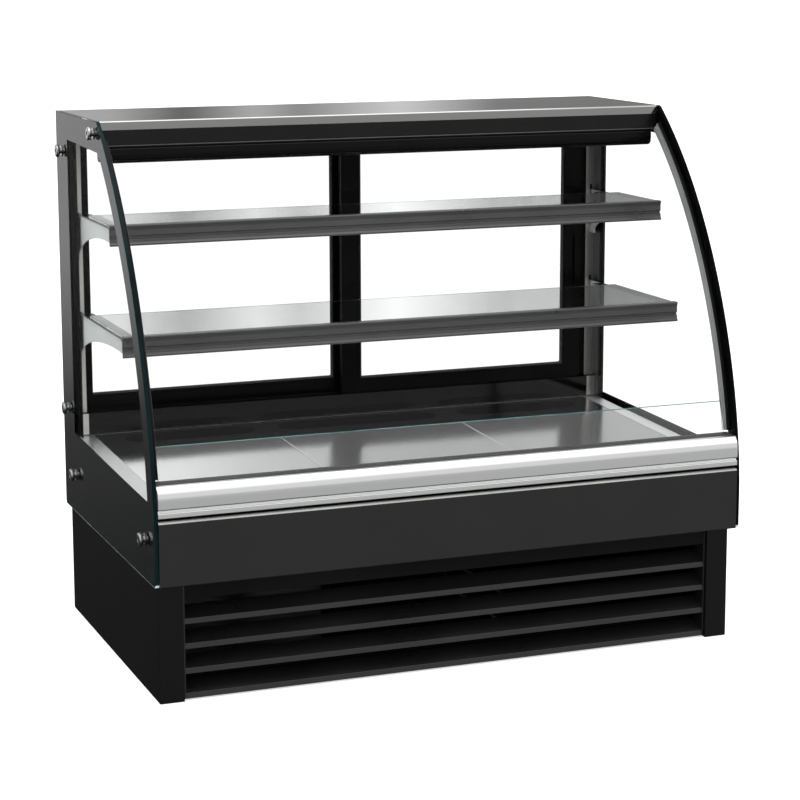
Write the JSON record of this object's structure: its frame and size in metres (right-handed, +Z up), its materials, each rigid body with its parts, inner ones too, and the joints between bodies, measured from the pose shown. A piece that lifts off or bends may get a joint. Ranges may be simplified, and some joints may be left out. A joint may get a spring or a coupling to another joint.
{
  "type": "refrigerated deli case",
  "caption": "Open-fronted refrigerated deli case: curved side glasses, glass shelves, deck trays, bumper, louvred plinth and rear sliding doors.",
  "frame": {"origin": "on the floor under the middle of the case", "axes": "+X to the right seen from the customer side, +Y towards the staff side at the back, +Z up"},
  "size_m": [1.348, 0.78, 1.15],
  "materials": {
    "galvanised_steel": "galvanised, matt spangle",
    "plinth_paint": "semi-gloss black powder coat",
    "black_paint": "gloss black paint",
    "black_plastic": "satin black moulding",
    "bright_aluminium": "bright satin anodised",
    "coil_aluminium": "plain fins",
    "clear_glass": "clear, green-grey edges",
    "seal_rubber": "matt",
    "tub_liner": "steel-lined foam tub, satin",
    "brushed_stainless": "brushed stainless",
    "bracket_paint": "satin grey paint",
    "polished_steel": "polished",
    "grey_profile": "dark grey extrusion",
    "lamp_diffuser": "opal"
  },
  "bodies": {
    "case": {"evaporator_fan_plate": "galvanised_steel", "plinth_side_left": "plinth_paint", "plinth_side_right": "plinth_paint", "base_runner_left": "black_paint", "base_runner_right": "black_paint", "chassis_tray": "black_paint", "condenser_coil": "black_paint", "condenser_shroud": "black_paint", "compressor": "black_paint", "rear_service_panel": "black_paint", "front_skirt": "black_paint", "rear_jamb_left": "black_paint", "rear_jamb_right": "black_paint", "door_track_bottom": "black_paint", "door_track_top": "black_paint", "canopy_fascia": "black_paint", "temperature_controller": "black_plastic", "lamp_housing": "black_plastic", "bumper_profile": "bright_aluminium", "evaporator_coil": "coil_aluminium", "low_front_glass": "clear_glass", "side_glass_left": "clear_glass", "side_glass_right": "clear_glass", "glass_seal": "seal_rubber", "insulated_tub": "tub_liner", "shelf_strip_left": "brushed_stainless", "shelf_strip_right": "brushed_stainless", "top_plate": "brushed_stainless", "stud_left_top_front": "polished_steel", "stud_left_top_rear": "polished_steel", "stud_left_middle_rear": "polished_steel", "stud_left_bottom_rear": "polished_steel", "stud_left_bottom_front": "polished_steel", "stud_right_top_front": "polished_steel", "stud_right_top_rear": "polished_steel", "stud_right_middle_rear": "polished_steel", "stud_right_bottom_rear": "polished_steel", "stud_right_bottom_front": "polished_steel", "edge_profile_left": "grey_profile", "edge_profile_right": "grey_profile", "led_diffuser": "lamp_diffuser"},
    "door_left": {"door_left_frame": "black_paint", "door_left_glass": "clear_glass"},
    "door_right": {"door_right_frame": "black_paint", "door_right_glass": "clear_glass"},
    "grille": {"louvre_grille": "plinth_paint"},
    "condenser_rotor": {"condenser_fan": "black_plastic"},
    "evaporator_rotor": {"evaporator_fan": "black_plastic"},
    "tray_left": {"deck_tray_left": "brushed_stainless"},
    "tray_middle": {"deck_tray_middle": "brushed_stainless"},
    "tray_right": {"deck_tray_right": "brushed_stainless"},
    "upper_shelf": {"upper_price_rail": "grey_profile", "upper_shelf_glass": "clear_glass", "upper_shelf_bracket_left": "bracket_paint", "upper_shelf_bracket_right": "bracket_paint"},
    "lower_shelf": {"lower_price_rail": "grey_profile", "lower_shelf_glass": "clear_glass", "lower_shelf_bracket_left": "bracket_paint", "lower_shelf_bracket_right": "bracket_paint"},
    "switch_rocker": {"power_switch": "black_plastic"}
  },
  "joints": [
    {"name": "door_left_slide", "type": "slide", "parent": "case", "child": "door_left", "axis": [1, 0, 0], "range_m": [0, 0.57]},
    {"name": "door_right_slide", "type": "slide", "parent": "case", "child": "door_right", "axis": [1, 0, 0], "range_m": [-0.58, 0]},
    {"name": "grille_pull_out", "type": "slide", "parent": "case", "child": "grille", "axis": [0, -1, 0], "range_m": [0, 0.12]},
    {"name": "condenser_fan_spin", "type": "hinge", "parent": "case", "child": "condenser_rotor", "pos_m": [-0.12, -0.211, 0.138], "axis": [0, 1, 0], "continuous": true},
    {"name": "evaporator_fan_spin", "type": "hinge", "parent": "case", "child": "evaporator_rotor", "pos_m": [0, -0.07, 0.35], "axis": [0, 0, 1], "continuous": true},
    {"name": "tray_left_lift", "type": "slide", "parent": "case", "child": "tray_left", "axis": [0, 0, 1], "range_m": [0, 0.1]},
    {"name": "tray_middle_lift", "type": "slide", "parent": "case", "child": "tray_middle", "axis": [0, 0, 1], "range_m": [0, 0.1]},
    {"name": "tray_right_lift", "type": "slide", "parent": "case", "child": "tray_right", "axis": [0, 0, 1], "range_m": [0, 0.1]},
    {"name": "upper_shelf_unhook", "type": "slide", "parent": "case", "child": "upper_shelf", "axis": [0, 0, 1], "range_m": [0, 0.012]},
    {"name": "lower_shelf_unhook", "type": "slide", "parent": "case", "child": "lower_shelf", "axis": [0, 0, 1], "range_m": [0, 0.012]},
    {"name": "power_rocker", "type": "hinge", "parent": "case", "child": "switch_rocker", "pos_m": [0.497, 0.3805, 0.19], "axis": [1, 0, 0], "range_deg": [-16, 0]}
  ]
}
